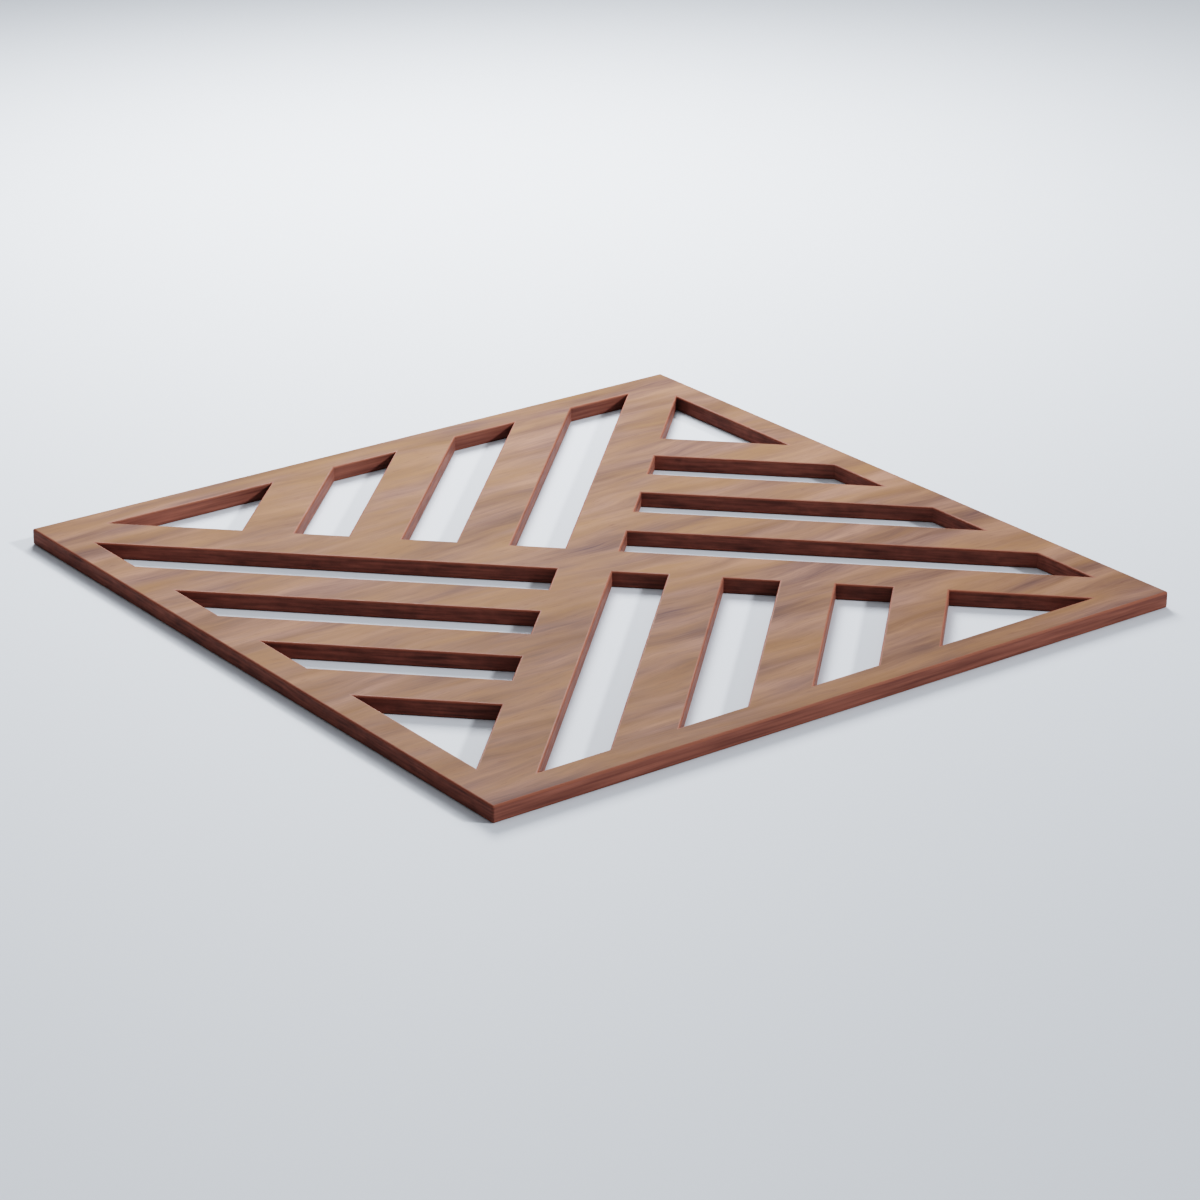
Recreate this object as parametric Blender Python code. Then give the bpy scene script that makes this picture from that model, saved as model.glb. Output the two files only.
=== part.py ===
"""A square fretwork wall panel, cut as one piece from a flat board.

Two diagonal bands cross at the centre and leave four triangular fields. In each field slots run
parallel to one diagonal band and stop square at the other, and a triangular opening fills the
corner that is left, so the four fields turn round the centre like the sails of a pinwheel.

Metres, +Z up. The panel lies face up with its sides along X and Y, and its back face is at Z = 0.
"""

import math

import bpy
from mathutils import Matrix, Vector

# Driving sizes of the board
side = 0.610
thickness = 0.0127
border_width = 0.025
arris_radius = 0.0015

# Driving sizes of the fretwork, each measured square across the strip
diagonal_width = 0.0418
slat_width = 0.0418
slot_width = 0.0418
slots_in_field = 3

FIELDS = 4
ARRIS_RESOLUTION = 1
WELD_DISTANCE = 0.00001

COLLECTION_NAME = "fretwork_wall_panel"
PANEL_NAME = "fretwork_panel"
WALNUT_COLOUR = (0.395, 0.262, 0.196, 1.0)
WALNUT_ROUGHNESS = 0.45


def clear_scene():
    """Removes every object that the file starts with."""
    for obj in list(bpy.data.objects):
        bpy.data.objects.remove(obj, do_unlink=True)


def walnut():
    """The oiled walnut that the whole panel is cut from."""
    material = bpy.data.materials.new("walnut")
    material.use_nodes = True
    shader = material.node_tree.nodes["Principled BSDF"]
    shader.inputs["Base Color"].default_value = WALNUT_COLOUR
    shader.inputs["Roughness"].default_value = WALNUT_ROUGHNESS
    shader.inputs["Metallic"].default_value = 0.0
    return material


def point_in_field(across, along):
    """A point of the left field, from its distances to the two diagonals of the square.

    across is the distance from the falling diagonal, along from the rising one.
    """
    return Vector((-(across + along), along - across)) / math.sqrt(2)


def field_openings():
    """The outlines of the openings in the left field: its slots, then its corner triangle."""
    square_end = diagonal_width / 2
    # On the inner edge of the border, across and along add up to this distance.
    border_reach = (side / 2 - border_width) * math.sqrt(2)
    pitch = slot_width + slat_width
    outlines = []
    for number in range(slots_in_field):
        near = diagonal_width / 2 + number * pitch
        far = near + slot_width
        outlines.append(
            [
                point_in_field(near, border_reach - near),
                point_in_field(near, square_end),
                point_in_field(far, square_end),
                point_in_field(far, border_reach - far),
            ]
        )
    near = diagonal_width / 2 + slots_in_field * pitch
    outlines.append(
        [
            point_in_field(near, border_reach - near),
            point_in_field(near, square_end),
            point_in_field(border_reach - square_end, square_end),
        ]
    )
    return outlines


def board_outline():
    """The four corners of the square board."""
    half = side / 2
    return [Vector(corner) for corner in ((-half, -half), (half, -half), (half, half), (-half, half))]


def panel_outlines():
    """The board's outline, and the outlines of all its openings, a quarter turn from field to field."""
    outlines = [board_outline()]
    for field in range(FIELDS):
        turn = Matrix.Rotation(field * 2 * math.pi / FIELDS, 2)
        for outline in field_openings():
            outlines.append([turn @ point for point in outline])
    return outlines


def add_outline(curve, points):
    """Adds one closed outline with straight edges to a flat curve."""
    spline = curve.splines.new("POLY")
    spline.points.add(len(points) - 1)
    for corner, point in zip(spline.points, points):
        corner.co = (point.x, point.y, 0.0, 1.0)
    spline.use_cyclic_u = True


def fretwork_panel(collection):
    """The board with its openings cut through it and its sharp edges eased."""
    curve = bpy.data.curves.new(PANEL_NAME, "CURVE")
    curve.dimensions = "2D"
    curve.fill_mode = "BOTH"
    # The flat edge, its rounded arrises, and the outline drawn in so that they end on it
    curve.extrude = thickness / 2 - arris_radius
    curve.bevel_depth = arris_radius
    curve.bevel_resolution = ARRIS_RESOLUTION
    curve.offset = -arris_radius
    for outline in panel_outlines():
        add_outline(curve, outline)
    curve.materials.append(walnut())

    panel = bpy.data.objects.new(PANEL_NAME, curve)
    panel.location.z = thickness / 2
    collection.objects.link(panel)

    weld = panel.modifiers.new("join_faces", "WELD")
    weld.merge_threshold = WELD_DISTANCE
    return panel


def main():
    clear_scene()
    collection = bpy.data.collections.new(COLLECTION_NAME)
    bpy.context.scene.collection.children.link(collection)
    fretwork_panel(collection)


main()
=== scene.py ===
import math

import bpy
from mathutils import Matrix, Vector


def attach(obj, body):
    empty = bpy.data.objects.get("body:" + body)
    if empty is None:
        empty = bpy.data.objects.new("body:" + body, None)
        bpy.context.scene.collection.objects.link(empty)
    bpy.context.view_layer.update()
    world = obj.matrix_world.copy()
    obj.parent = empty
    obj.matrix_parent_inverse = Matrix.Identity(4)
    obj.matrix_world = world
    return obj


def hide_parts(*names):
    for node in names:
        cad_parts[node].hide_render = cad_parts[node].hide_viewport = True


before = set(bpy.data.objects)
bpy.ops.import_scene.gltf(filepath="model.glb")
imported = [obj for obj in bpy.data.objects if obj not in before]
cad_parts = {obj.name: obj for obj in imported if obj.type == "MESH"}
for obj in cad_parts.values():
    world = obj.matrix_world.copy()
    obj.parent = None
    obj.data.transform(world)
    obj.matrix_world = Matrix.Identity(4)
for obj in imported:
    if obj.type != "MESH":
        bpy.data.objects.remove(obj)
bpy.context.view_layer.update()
scene = bpy.context.scene
collection = scene.collection


# The camera looks down on the panel from beyond its near corner, through a long lens.
# The small shift puts the panel off the picture's middle, as it stands in the photograph.
CAMERA_AZIMUTH = math.radians(53.43)
CAMERA_ELEVATION = math.radians(22.58)
CAMERA_DISTANCE = 2.755
CAMERA_TARGET = Vector((0.0329, -0.0377, 0.0))
CAMERA_LENS = 111.55
CAMERA_SHIFT = 0.02145


def direction(azimuth, elevation):
    """The unit vector that points at a place seen at this azimuth, from -Y towards +X, and height."""
    flat = math.cos(elevation)
    return Vector((math.sin(azimuth) * flat, -math.cos(azimuth) * flat, math.sin(elevation)))


def aim(obj, towards_viewer):
    """Turns a camera or a light so that it looks back along this direction."""
    obj.rotation_euler = (-towards_viewer).to_track_quat("-Z", "Y").to_euler()


lens = bpy.data.cameras.new("camera")
lens.lens = CAMERA_LENS
lens.shift_x = CAMERA_SHIFT
camera = bpy.data.objects.new("camera", lens)
to_camera = direction(CAMERA_AZIMUTH, CAMERA_ELEVATION)
camera.location = CAMERA_TARGET + to_camera * CAMERA_DISTANCE
aim(camera, to_camera)
collection.objects.link(camera)
scene.camera = camera


# The panel is one flat walnut board, with the fretwork cut square through it by a router.
# Its fields of slots turn round the centre, and every sharp arris is eased with fine paper.
PANEL_SIDE = 0.610
PANEL_THICKNESS = 0.0127
BORDER_WIDTH = 0.025
DIAGONAL_WIDTH = 0.0418
SLAT_WIDTH = 0.0418
SLOT_WIDTH = 0.0418
SLOTS_IN_FIELD = 3
ARRIS_RADIUS = 0.0015
ARRIS_STEPS = 4
CORNER_STEPS = 3
JOIN_DISTANCE = 0.00001

FIELDS = 4
CORNERS = 4
# A face counts as flat above this upright share of its normal, and as a cut wall below the other.
FLAT_FACE = 0.999
CUT_WALL = 0.001
SOFT_EDGE_ANGLE = math.radians(40)
# The attributes that hold how far a wall's corner is drawn in, and which faces are eased arrises
INSET = "inset"
ARRIS_MARK = "arris"


def add_node(tree, kind, inputs=None, **settings):
    """One node with its settings, and its inputs set to plain values or linked to sockets."""
    node = tree.nodes.new(kind)
    for name, value in settings.items():
        setattr(node, name, value)
    for name, value in (inputs or {}).items():
        if isinstance(value, bpy.types.NodeSocket):
            tree.links.new(value, node.inputs[name])
        else:
            node.inputs[name].default_value = value
    return node


def maths(tree, operation, *values):
    """The result of one Math node."""
    return add_node(tree, "ShaderNodeMath", dict(enumerate(values)), operation=operation).outputs[0]


def vector_maths(tree, operation, inputs):
    """The vector that one Vector Math node gives."""
    return add_node(tree, "ShaderNodeVectorMath", inputs, operation=operation).outputs["Vector"]


def choose(tree, condition, otherwise, chosen):
    """The chosen number where the condition is 1, and the other where it is 0."""
    inputs = {"Factor": condition, "A": otherwise, "B": chosen}
    return add_node(tree, "ShaderNodeMix", inputs).outputs["Result"]


def add_inputs(tree, sockets):
    """Adds named inputs to a node group, each with its socket type and its first value."""
    for name, (kind, value) in sockets.items():
        tree.interface.new_socket(name, in_out="INPUT", socket_type=kind).default_value = value


def opening_corners(tree, size, openings):
    """Where each corner of each opening goes, worked out from the point's own number."""
    # Corners 0 and 1 are on an opening's near side, and 2 and 3 on its far side. 1 and 2 are at its
    # square end, and 0 and 3 on the border.
    index = add_node(tree, "GeometryNodeInputIndex").outputs["Index"]
    corner = maths(tree, "MODULO", index, CORNERS)
    number = maths(tree, "FLOOR", maths(tree, "DIVIDE", index, CORNERS))
    opening = maths(tree, "MODULO", number, openings)
    # The half keeps rounding from putting a field's first opening into the field before it.
    field = maths(tree, "FLOOR", maths(tree, "DIVIDE", maths(tree, "ADD", number, 0.5), openings))

    # Distances to the board's two diagonals. On the border's inner edge they add up to reach.
    square_end = maths(tree, "MULTIPLY", size["Diagonal width"], 0.5)
    to_border = maths(tree, "SUBTRACT", maths(tree, "MULTIPLY", size["Side"], 0.5), size["Border width"])
    reach = maths(tree, "MULTIPLY", to_border, math.sqrt(2))
    pitch = maths(tree, "ADD", size["Slot width"], size["Slat width"])
    near = maths(tree, "MULTIPLY_ADD", opening, pitch, square_end)
    slot_far = maths(tree, "ADD", near, size["Slot width"])

    # The last opening runs on until its two far corners meet, which makes it the triangle.
    is_triangle = maths(tree, "GREATER_THAN", opening, maths(tree, "SUBTRACT", openings, 1.5))
    far = choose(tree, is_triangle, slot_far, maths(tree, "SUBTRACT", reach, square_end))
    across = choose(tree, maths(tree, "GREATER_THAN", corner, 1.5), near, far)
    is_square_end = maths(tree, "COMPARE", corner, 1.5, 1.0)
    along = choose(tree, is_square_end, maths(tree, "SUBTRACT", reach, across), square_end)

    x = maths(tree, "DIVIDE", maths(tree, "ADD", across, along), -math.sqrt(2))
    y = maths(tree, "DIVIDE", maths(tree, "SUBTRACT", along, across), math.sqrt(2))
    point = add_node(tree, "ShaderNodeCombineXYZ", {"X": x, "Y": y}).outputs["Vector"]
    angle = maths(tree, "MULTIPLY", field, 2 * math.pi / FIELDS)
    turn = add_node(tree, "ShaderNodeVectorRotate", {"Vector": point, "Angle": angle}, rotation_type="Z_AXIS")
    return turn.outputs["Vector"]


def cut_outlines(tree, size):
    """The flat board: its outline and those of all its openings, filled between them."""
    openings = maths(tree, "ADD", size["Slots in a field"], 1)
    count = maths(tree, "MULTIPLY", openings, FIELDS)
    places = add_node(tree, "GeometryNodeMeshLine", {"Count": count})
    blank = add_node(tree, "GeometryNodeCurvePrimitiveQuadrilateral")
    copies = add_node(
        tree,
        "GeometryNodeInstanceOnPoints",
        {"Points": places.outputs["Mesh"], "Instance": blank.outputs["Curve"]},
    )
    blanks = add_node(tree, "GeometryNodeRealizeInstances", {"Geometry": copies.outputs["Instances"]})
    placed = add_node(
        tree,
        "GeometryNodeSetPosition",
        {"Geometry": blanks.outputs["Geometry"], "Position": opening_corners(tree, size, openings)},
    )

    square = add_node(
        tree,
        "GeometryNodeCurvePrimitiveQuadrilateral",
        {"Width": size["Side"], "Height": size["Side"]},
    )
    board = add_node(
        tree,
        "GeometryNodeFilletCurve",
        {"Curve": square.outputs["Curve"], "Radius": size["Arris radius"], "Count": CORNER_STEPS},
        mode="POLY",
    )
    outlines = add_node(tree, "GeometryNodeJoinGeometry", {"Geometry": board.outputs["Curve"]})
    tree.links.new(placed.outputs["Geometry"], outlines.inputs["Geometry"])

    # The triangle's two far corners are one point, so each outline is merged before it is filled.
    lines = add_node(tree, "GeometryNodeCurveToMesh", {"Curve": outlines.outputs["Geometry"]})
    merged = add_node(
        tree,
        "GeometryNodeMergeByDistance",
        {"Geometry": lines.outputs["Mesh"], "Distance": JOIN_DISTANCE},
    )
    closed = add_node(tree, "GeometryNodeMeshToCurve", {"Mesh": merged.outputs["Geometry"]})
    return add_node(tree, "GeometryNodeFillCurve", {"Curve": closed.outputs["Curve"]}).outputs["Mesh"]


def raise_half(tree, flat, size):
    """The upper half of the board: its walls, then the quarter round of the arris."""
    half = maths(tree, "MULTIPLY", size["Thickness"], 0.5)
    wall_height = maths(tree, "SUBTRACT", half, size["Arris radius"])
    up = add_node(tree, "ShaderNodeCombineXYZ", {"Z": wall_height}).outputs["Vector"]
    walls = add_node(tree, "GeometryNodeExtrudeMesh", {"Mesh": flat, "Offset": up, "Individual": False})

    # At a corner the two walls' normals average to this vector, which is as long as the cosine of
    # half the turn. Divided by its own square, it reaches both walls' new planes at once.
    normal = add_node(tree, "GeometryNodeInputNormal").outputs["Normal"]
    wall_normal = vector_maths(tree, "SCALE", {"Vector": normal, "Scale": walls.outputs["Side"]})
    settings = {"data_type": "FLOAT_VECTOR", "domain": "FACE"}
    normals = add_node(tree, "GeometryNodeFieldOnDomain", {"Value": wall_normal}, **settings)
    share = add_node(tree, "GeometryNodeFieldOnDomain", {"Value": walls.outputs["Side"]}, domain="FACE")
    mean = vector_maths(tree, "DIVIDE", {0: normals.outputs["Value"], 1: share.outputs["Value"]})
    square = add_node(tree, "ShaderNodeVectorMath", {0: mean, 1: mean}, operation="DOT_PRODUCT")
    inward = maths(tree, "DIVIDE", -1.0, square.outputs["Value"])
    inset = vector_maths(tree, "SCALE", {"Vector": mean, "Scale": inward})
    stored = add_node(
        tree,
        "GeometryNodeStoreNamedAttribute",
        {"Geometry": walls.outputs["Mesh"], "Name": INSET, "Value": inset},
        data_type="FLOAT_VECTOR",
        domain="POINT",
    )

    solid = stored.outputs["Geometry"]
    top = walls.outputs["Top"]
    read = add_node(tree, "GeometryNodeInputNamedAttribute", {"Name": INSET}, data_type="FLOAT_VECTOR")
    for step in range(ARRIS_STEPS):
        start = math.pi / 2 * step / ARRIS_STEPS
        end = math.pi / 2 * (step + 1) / ARRIS_STEPS
        rise = maths(tree, "MULTIPLY", size["Arris radius"], math.sin(end) - math.sin(start))
        draw_in = maths(tree, "MULTIPLY", size["Arris radius"], math.cos(start) - math.cos(end))
        up = add_node(tree, "ShaderNodeCombineXYZ", {"Z": rise}).outputs["Vector"]
        extruded = add_node(
            tree,
            "GeometryNodeExtrudeMesh",
            {"Mesh": solid, "Selection": top, "Offset": up, "Individual": False},
        )
        top = extruded.outputs["Top"]
        inward = vector_maths(tree, "SCALE", {"Vector": read.outputs["Attribute"], "Scale": draw_in})
        moved = add_node(
            tree,
            "GeometryNodeSetPosition",
            {"Geometry": extruded.outputs["Mesh"], "Selection": top, "Offset": inward},
        )
        solid = moved.outputs["Geometry"]
    return add_node(tree, "GeometryNodeRemoveAttribute", {"Geometry": solid, "Name": INSET}).outputs[0]


def close_board(tree, half, size):
    """The upper half and its mirror image, joined at mid thickness and set on the back face."""
    mirror = add_node(tree, "GeometryNodeTransform", {"Geometry": half, "Scale": (1, 1, -1)})
    turned = add_node(tree, "GeometryNodeFlipFaces", {"Mesh": mirror.outputs["Geometry"]})
    both = add_node(tree, "GeometryNodeJoinGeometry", {"Geometry": half})
    tree.links.new(turned.outputs["Mesh"], both.inputs["Geometry"])
    merged = add_node(
        tree,
        "GeometryNodeMergeByDistance",
        {"Geometry": both.outputs["Geometry"], "Distance": JOIN_DISTANCE},
    )
    half_height = maths(tree, "MULTIPLY", size["Thickness"], 0.5)
    lift = add_node(tree, "ShaderNodeCombineXYZ", {"Z": half_height}).outputs["Vector"]
    lifted = add_node(
        tree,
        "GeometryNodeTransform",
        {"Geometry": merged.outputs["Geometry"], "Translation": lift},
    )
    return lifted.outputs["Geometry"]


def finish_faces(tree, board):
    """Marks the eased arrises, shades them round, and gives faces and cut walls their material."""
    normal = add_node(tree, "GeometryNodeInputNormal").outputs["Normal"]
    height = add_node(tree, "ShaderNodeSeparateXYZ", {"Vector": normal}).outputs["Z"]
    upright = maths(tree, "ABSOLUTE", height)
    is_flat = maths(tree, "GREATER_THAN", upright, FLAT_FACE)
    is_wall = maths(tree, "LESS_THAN", upright, CUT_WALL)
    is_arris = maths(tree, "SUBTRACT", 1.0, maths(tree, "ADD", is_flat, is_wall))
    marked = add_node(
        tree,
        "GeometryNodeStoreNamedAttribute",
        {"Geometry": board, "Name": ARRIS_MARK, "Value": is_arris},
        domain="FACE",
    )
    rounded = add_node(
        tree,
        "GeometryNodeSetShadeSmooth",
        {"Geometry": marked.outputs["Geometry"], "Shade Smooth": is_arris},
        domain="FACE",
    )
    angle = add_node(tree, "GeometryNodeInputMeshEdgeAngle").outputs["Unsigned Angle"]
    is_mitre = maths(tree, "GREATER_THAN", angle, SOFT_EDGE_ANGLE)
    creased = add_node(
        tree,
        "GeometryNodeSetShadeSmooth",
        {"Geometry": rounded.outputs["Geometry"], "Selection": is_mitre, "Shade Smooth": False},
        domain="EDGE",
    )
    cut = add_node(
        tree,
        "GeometryNodeSetMaterial",
        {"Geometry": creased.outputs["Geometry"], "Material": bpy.data.materials["cut_walnut"]},
    )
    faced = add_node(
        tree,
        "GeometryNodeSetMaterial",
        {
            "Geometry": cut.outputs["Geometry"],
            "Selection": is_flat,
            "Material": bpy.data.materials["oiled_walnut"],
        },
    )
    return faced.outputs["Geometry"]


def fretwork_tree():
    """The tree that makes the panel from its driving sizes."""
    tree = bpy.data.node_groups.new("fretwork", "GeometryNodeTree")
    add_inputs(
        tree,
        {
            "Side": ("NodeSocketFloat", PANEL_SIDE),
            "Thickness": ("NodeSocketFloat", PANEL_THICKNESS),
            "Border width": ("NodeSocketFloat", BORDER_WIDTH),
            "Diagonal width": ("NodeSocketFloat", DIAGONAL_WIDTH),
            "Slat width": ("NodeSocketFloat", SLAT_WIDTH),
            "Slot width": ("NodeSocketFloat", SLOT_WIDTH),
            "Slots in a field": ("NodeSocketInt", SLOTS_IN_FIELD),
            "Arris radius": ("NodeSocketFloat", ARRIS_RADIUS),
        },
    )
    tree.interface.new_socket("Panel", in_out="OUTPUT", socket_type="NodeSocketGeometry")
    size = add_node(tree, "NodeGroupInput").outputs
    flat = cut_outlines(tree, size)
    half = raise_half(tree, flat, size)
    board = close_board(tree, half, size)
    add_node(tree, "NodeGroupOutput", {"Panel": finish_faces(tree, board)})
    return tree


# The finish: steamed walnut under thin oil. Tan and mauve-brown bands run along the board, and
# fine fibres and short dark pores run with them. The cut walls took the oil deeper and redder.
# Colours are screen values from 0 to 255.
TAN_BROWN = (147, 113, 98)
MAUVE_BROWN = (85, 65, 63)
GOLDEN_BROWN = (131, 95, 62)
CUT_LIGHT = (144, 96, 83)
CUT_DARK = (86, 58, 53)
# The arris brown is lighter and more orange than the cut walls: partly rubbed wear, partly a painted
# highlight along the eased edge.
ARRIS_HIGHLIGHT_BROWN = (132, 84, 69)
FACE_ROUGHNESS = (0.6, 0.72)
FACE_SPECULAR = 0.04
CUT_ROUGHNESS = (0.45, 0.6)
CUT_SPECULAR = 0.06

# Listed one by one: where a band of the wood lies across the board, and how light it is.
BOARD_TONES = (
    (0.00, 0.42),
    (0.06, 0.30),
    (0.09, 0.72),
    (0.14, 0.38),
    (0.19, 0.74),
    (0.23, 0.40),
    (0.27, 0.70),
    (0.31, 0.34),
    (0.37, 0.62),
    (0.43, 0.74),
    (0.47, 0.36),
    (0.52, 0.66),
    (0.59, 0.60),
    (0.68, 0.32),
    (0.73, 0.56),
    (0.78, 0.26),
    (0.83, 0.66),
    (0.88, 0.24),
    (0.92, 0.55),
    (0.96, 0.20),
    (1.00, 0.45),
)

# How the bands wander and ripple: how often in a metre across the board, along it and through it,
# the detail of the noise, and how far it carries them sideways
WANDER = ((9.0, 3.2, 9.0), 2.0, 0.034)
RIPPLE = ((34.0, 13.0, 34.0), 1.0, 0.017)

# The figures of the grain: how often each repeats in a metre across the board, along it and through
# it, the detail and the roughness of its noise, and the two values of the noise that become 0 and 1
FIGURES = {
    "Flame": ((46.0, 5.5, 60.0), 3.0, 0.5, (0.28, 0.72)),
    "Streak": ((150.0, 12.0, 160.0), 3.0, 0.5, (0.28, 0.72)),
    "Hue": ((40.0, 9.0, 40.0), 2.0, 0.5, (0.32, 0.68)),
    "Fibre": ((620.0, 26.0, 620.0), 3.0, 0.6, (0.25, 0.75)),
}
PORES = ((1500.0, 60.0, 1500.0), 2.0, 0.5, (0.62, 0.72))
LAYERS = ((40.0, 14.0, 480.0), 3.0, 0.5, (0.3, 0.7))

# What each figure adds to the tone of a face and of a cut wall, from the level that they start at
FACE_TONE = {"Band": 0.6, "Flame": 0.86, "Streak": 0.3, "Fibre": 0.42}
FACE_TONE_START = -0.61
CUT_TONE = {"Flame": 0.25, "Streak": 0.25, "Layers": 0.6}
CUT_TONE_START = -0.05
# How much of the golden brown, of the pores' dark brown and of the arris brown (partly rubbed wear, partly a
# painted highlight) is mixed in
GOLDEN_SHARE = 0.6
PORE_SHARE = 0.5
ARRIS_HIGHLIGHT_SHARE = (0.5, 0.9)

# The fine relief that the fibres leave on a face and on a cut wall
FACE_RELIEF = {"Fibre": 1.0, "Pores": -0.8}
FACE_RELIEF_STRENGTH = 0.25
CUT_RELIEF = {"Fibre": 1.0, "Layers": 0.2}
CUT_RELIEF_STRENGTH = 0.3
RELIEF_DEPTH = 0.0001

# A Mix node's sockets for colours go by number, because their names are those for numbers too.
MIX_FACTOR, MIX_FIRST, MIX_SECOND, MIX_RESULT = 0, 6, 7, 2


def linear(colour):
    """A colour given as screen values from 0 to 255, as Blender's linear red, green, blue, alpha."""
    shares = [value / 255 for value in colour]
    return [s / 12.92 if s <= 0.04045 else ((s + 0.055) / 1.055) ** 2.4 for s in shares] + [1.0]


def stretched_noise(tree, place, scale, detail, roughness=0.5):
    """Noise drawn out by a different scale along each axis, as a value about 0.5."""
    drawn = add_node(tree, "ShaderNodeMapping", {"Vector": place, "Scale": scale})
    noise = add_node(
        tree,
        "ShaderNodeTexNoise",
        {"Vector": drawn.outputs["Vector"], "Scale": 1.0, "Detail": detail, "Roughness": roughness},
    )
    return noise.outputs["Fac"]


def map_range(tree, value, start, end, low=0.0, high=1.0, smooth=False):
    """A value spread from one range to another and held inside it."""
    kind = "SMOOTHSTEP" if smooth else "LINEAR"
    inputs = {"Value": value, "From Min": start, "From Max": end, "To Min": low, "To Max": high}
    return add_node(tree, "ShaderNodeMapRange", inputs, interpolation_type=kind).outputs["Result"]


def sideways(tree, place, scale, detail, reach):
    """How far noise carries a place sideways."""
    noise = stretched_noise(tree, place, scale, detail)
    return maths(tree, "MULTIPLY", maths(tree, "SUBTRACT", noise, 0.5), reach)


def figure(tree, place, scale, detail, roughness, spread, smooth=False):
    """One figure of the grain, from 0 to 1."""
    return map_range(tree, stretched_noise(tree, place, scale, detail, roughness), *spread, smooth=smooth)


def board_bands(tree, place):
    """The tone of the bands at a place, laid across the board from one side to the other."""
    x = add_node(tree, "ShaderNodeSeparateXYZ", {"Vector": place}).outputs["X"]
    share = map_range(tree, x, -PANEL_SIDE / 2, PANEL_SIDE / 2)
    ramp = add_node(tree, "ShaderNodeValToRGB", {"Fac": share})
    ramp.color_ramp.interpolation = "B_SPLINE"
    stops = ramp.color_ramp.elements
    stops.remove(stops[-1])
    for number, (position, tone) in enumerate(BOARD_TONES):
        stop = stops.new(position) if number else stops[0]
        stop.color = (tone, tone, tone, 1.0)
    return ramp.outputs["Color"]


def grain_group():
    """The grain that faces and cut walls share, so that it runs through the board unbroken."""
    tree = bpy.data.node_groups.new("walnut_grain", "ShaderNodeTree")
    tree.interface.new_socket("Place", in_out="INPUT", socket_type="NodeSocketVector")
    for name in ("Band", *FIGURES, "Pores", "Layers"):
        tree.interface.new_socket(name, in_out="OUTPUT", socket_type="NodeSocketFloat")
    place = add_node(tree, "NodeGroupInput").outputs["Place"]

    # All but the layers follow the bands as they wander sideways on their way along the board.
    across = maths(tree, "ADD", sideways(tree, place, *WANDER), sideways(tree, place, *RIPPLE))
    shift = add_node(tree, "ShaderNodeCombineXYZ", {"X": across})
    wavy = vector_maths(tree, "ADD", {0: place, 1: shift.outputs["Vector"]})
    outputs = {"Band": board_bands(tree, wavy)}
    for name, values in FIGURES.items():
        outputs[name] = figure(tree, wavy, *values)
    outputs["Pores"] = figure(tree, wavy, *PORES, smooth=True)
    outputs["Layers"] = figure(tree, place, *LAYERS)
    add_node(tree, "NodeGroupOutput", outputs)


def mixed(tree, factor, first, second):
    """Two colours mixed by a factor."""
    inputs = {MIX_FACTOR: factor, MIX_FIRST: first, MIX_SECOND: second}
    return add_node(tree, "ShaderNodeMix", inputs, data_type="RGBA").outputs[MIX_RESULT]


def weighted_sum(tree, values, weights, start=0.0):
    """A starting level plus each named value times its weight."""
    total = start
    for name, weight in weights.items():
        total = maths(tree, "MULTIPLY_ADD", values[name], weight, total)
    return total


def new_material(name):
    """A material with the grain on its Object coordinates: its tree, grain and shader."""
    material = bpy.data.materials.new(name)
    material.use_nodes = True
    tree = material.node_tree
    place = add_node(tree, "ShaderNodeTexCoord").outputs["Object"]
    group = bpy.data.node_groups["walnut_grain"]
    grain = add_node(tree, "ShaderNodeGroup", {"Place": place}, node_tree=group)
    return tree, grain.outputs, tree.nodes["Principled BSDF"]


def set_shader(tree, shader, colour, roughness, height, strength):
    """Gives the shader its colour, its roughness and its fine relief."""
    relief = {"Height": height, "Strength": strength, "Distance": RELIEF_DEPTH}
    bump = add_node(tree, "ShaderNodeBump", relief)
    tree.links.new(colour, shader.inputs["Base Color"])
    tree.links.new(roughness, shader.inputs["Roughness"])
    tree.links.new(bump.outputs["Normal"], shader.inputs["Normal"])


def oiled_walnut():
    """The planed faces: tan, mauve-brown and golden, with fibres and pores under thin oil."""
    tree, grain, shader = new_material("oiled_walnut")
    tone = weighted_sum(tree, grain, FACE_TONE, FACE_TONE_START)
    wood = mixed(tree, tone, linear(MAUVE_BROWN), linear(TAN_BROWN))
    golden = maths(tree, "MULTIPLY", grain["Hue"], GOLDEN_SHARE)
    tinted = mixed(tree, golden, wood, linear(GOLDEN_BROWN))
    dark = maths(tree, "MULTIPLY", grain["Pores"], PORE_SHARE)
    colour = mixed(tree, dark, tinted, linear(CUT_DARK))
    roughness = map_range(tree, grain["Fibre"], 0.0, 1.0, *FACE_ROUGHNESS)
    height = weighted_sum(tree, grain, FACE_RELIEF)
    set_shader(tree, shader, colour, roughness, height, FACE_RELIEF_STRENGTH)
    shader.inputs["Specular IOR Level"].default_value = FACE_SPECULAR


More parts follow.
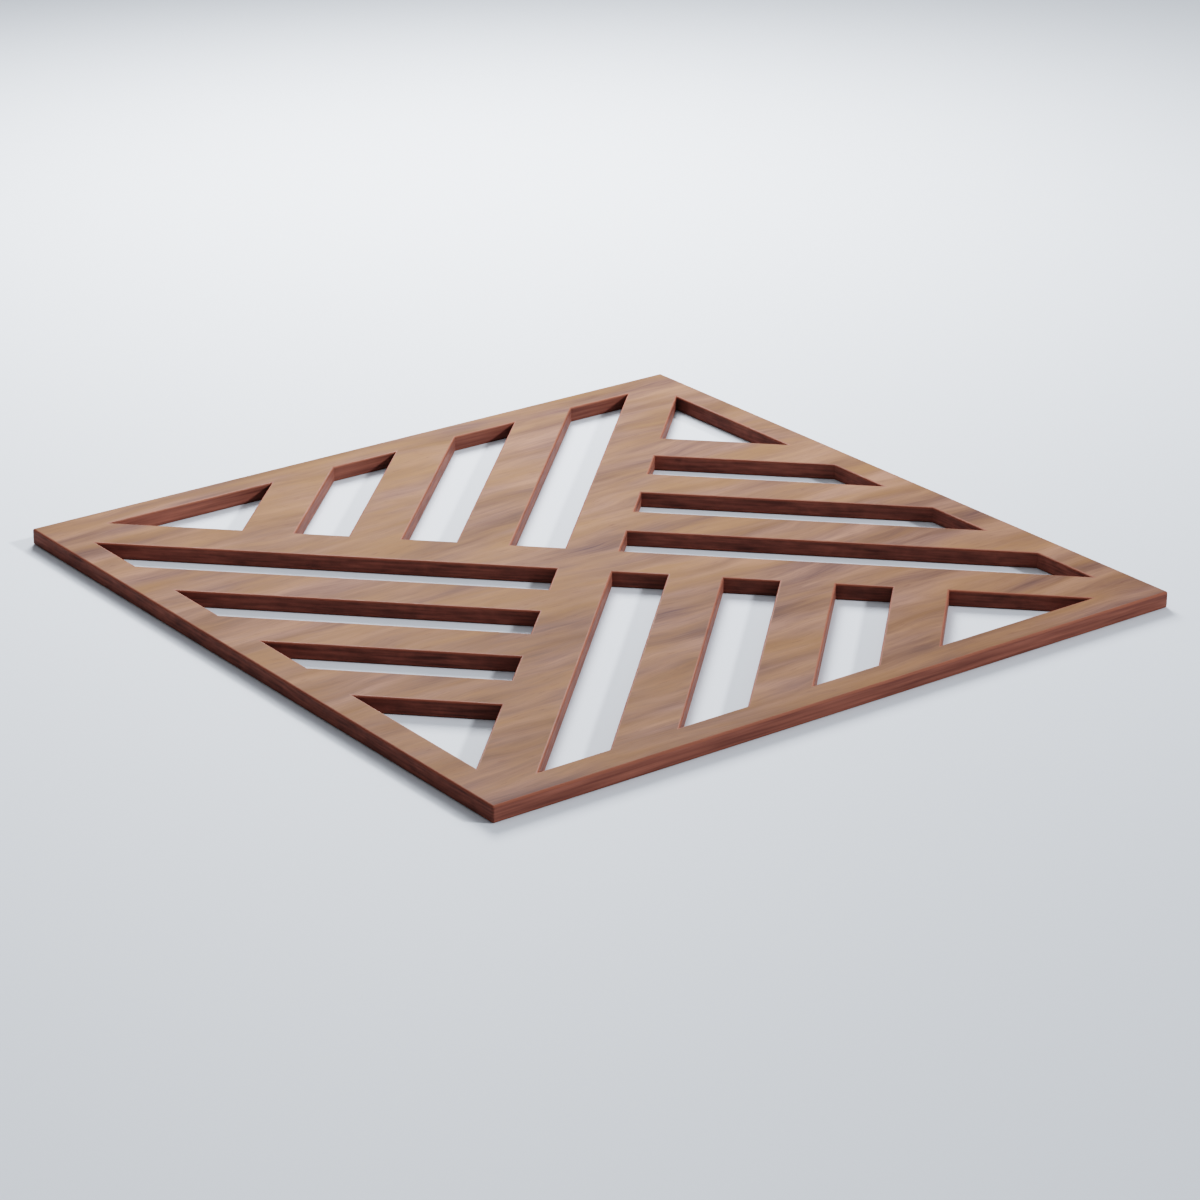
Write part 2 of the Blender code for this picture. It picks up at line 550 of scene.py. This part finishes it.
def cut_walnut():
    """The cut walls and their eased arrises: darker and redder, the arris lighter, partly from rubbed wear
    and partly as a painted highlight.
    """
    tree, grain, shader = new_material("cut_walnut")
    tone = weighted_sum(tree, grain, CUT_TONE, CUT_TONE_START)
    wood = mixed(tree, tone, linear(CUT_DARK), linear(CUT_LIGHT))
    arris = add_node(tree, "ShaderNodeAttribute", attribute_name=ARRIS_MARK).outputs["Fac"]
    # The eased arris is mixed towards the lighter arris brown: partly rubbed wear, partly a painted
    # highlight.
    rubbed_and_highlit = maths(tree, "MULTIPLY", arris, map_range(tree, grain["Layers"], 0.0, 1.0, *ARRIS_HIGHLIGHT_SHARE))
    colour = mixed(tree, rubbed_and_highlit, wood, linear(ARRIS_HIGHLIGHT_BROWN))
    roughness = map_range(tree, grain["Streak"], 0.0, 1.0, *CUT_ROUGHNESS)
    height = weighted_sum(tree, grain, CUT_RELIEF)
    set_shader(tree, shader, colour, roughness, height, CUT_RELIEF_STRENGTH)
    shader.inputs["Specular IOR Level"].default_value = CUT_SPECULAR


grain_group()
oiled_walnut()
cut_walnut()

maker = bpy.data.objects.new("panel_maker", bpy.data.meshes.new("panel_maker"))
collection.objects.link(maker)
modifier = maker.modifiers.new("fretwork", "NODES")
modifier.node_group = fretwork_tree()
bpy.context.view_layer.update()
graph = bpy.context.evaluated_depsgraph_get()
panel_mesh = bpy.data.meshes.new_from_object(maker.evaluated_get(graph), depsgraph=graph)
bpy.data.objects.remove(maker)
panel_mesh.name = "walnut_fretwork_panel"
panel = bpy.data.objects.new("walnut_fretwork_panel", panel_mesh)
collection.objects.link(panel)
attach(panel, "root")
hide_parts("fretwork_panel")


# The floor is a plain pale sheet that the panel lies on, much wider than the picture.
# It isn't part of the panel.
FLOOR_SIDE = 14.0
FLOOR_COLOUR = (197, 204, 213)
FLOOR_ROUGHNESS = 0.6
FLOOR_SPECULAR = 0.1

bpy.ops.mesh.primitive_plane_add(size=FLOOR_SIDE)
floor = bpy.context.active_object
floor.name = "floor"
floor_paint = bpy.data.materials.new("pale_floor")
floor_paint.use_nodes = True
floor_shader = floor_paint.node_tree.nodes["Principled BSDF"]
floor_shader.inputs["Base Color"].default_value = linear(FLOOR_COLOUR)
floor_shader.inputs["Roughness"].default_value = FLOOR_ROUGHNESS
floor_shader.inputs["Specular IOR Level"].default_value = FLOOR_SPECULAR
floor.data.materials.append(floor_paint)


# Plain studio light: a softbox behind and a little to the left is the brightest, a low key on the
# right draws the dark corners of the openings, and a wide panel overhead and the pale room fill in.
KEY_AZIMUTH = math.radians(135)
KEY_ELEVATION = math.radians(31.5)
KEY_ANGLE = math.radians(6)
KEY_STRENGTH = 2.4
SOFTBOX_AZIMUTH = math.radians(240.6)
SOFTBOX_ELEVATION = math.radians(38)
SOFTBOX_DISTANCE = 1.7
SOFTBOX_SIDE = 0.75
SOFTBOX_POWER = 43.3
OVERHEAD_HEIGHT = 2.2
OVERHEAD_SIDE = 2.4
OVERHEAD_POWER = 12.7
ROOM_COLOUR = (255, 255, 255)
ROOM_STRENGTH = 0.195


def add_light(name, kind, strength, place, towards_light):
    """A light at this place that shines back along this direction."""
    light = bpy.data.lights.new(name, kind)
    light.energy = strength
    lamp = bpy.data.objects.new(name, light)
    lamp.location = place
    aim(lamp, towards_light)
    collection.objects.link(lamp)
    return light


to_key = direction(KEY_AZIMUTH, KEY_ELEVATION)
add_light("key", "SUN", KEY_STRENGTH, to_key, to_key).angle = KEY_ANGLE
to_softbox = direction(SOFTBOX_AZIMUTH, SOFTBOX_ELEVATION)
softbox_place = to_softbox * SOFTBOX_DISTANCE
add_light("softbox", "AREA", SOFTBOX_POWER, softbox_place, to_softbox).size = SOFTBOX_SIDE
upwards = Vector((0.0, 0.0, 1.0))
overhead_place = upwards * OVERHEAD_HEIGHT
add_light("overhead", "AREA", OVERHEAD_POWER, overhead_place, upwards).size = OVERHEAD_SIDE

world = bpy.data.worlds.new("room")
world.use_nodes = True
background = world.node_tree.nodes["Background"]
background.inputs["Color"].default_value = linear(ROOM_COLOUR)
background.inputs["Strength"].default_value = ROOM_STRENGTH
scene.world = world

# The photograph's dark cut walls beside a pale floor follow a filmic curve.
scene.view_settings.view_transform = "Filmic"
scene.view_settings.look = "High Contrast"
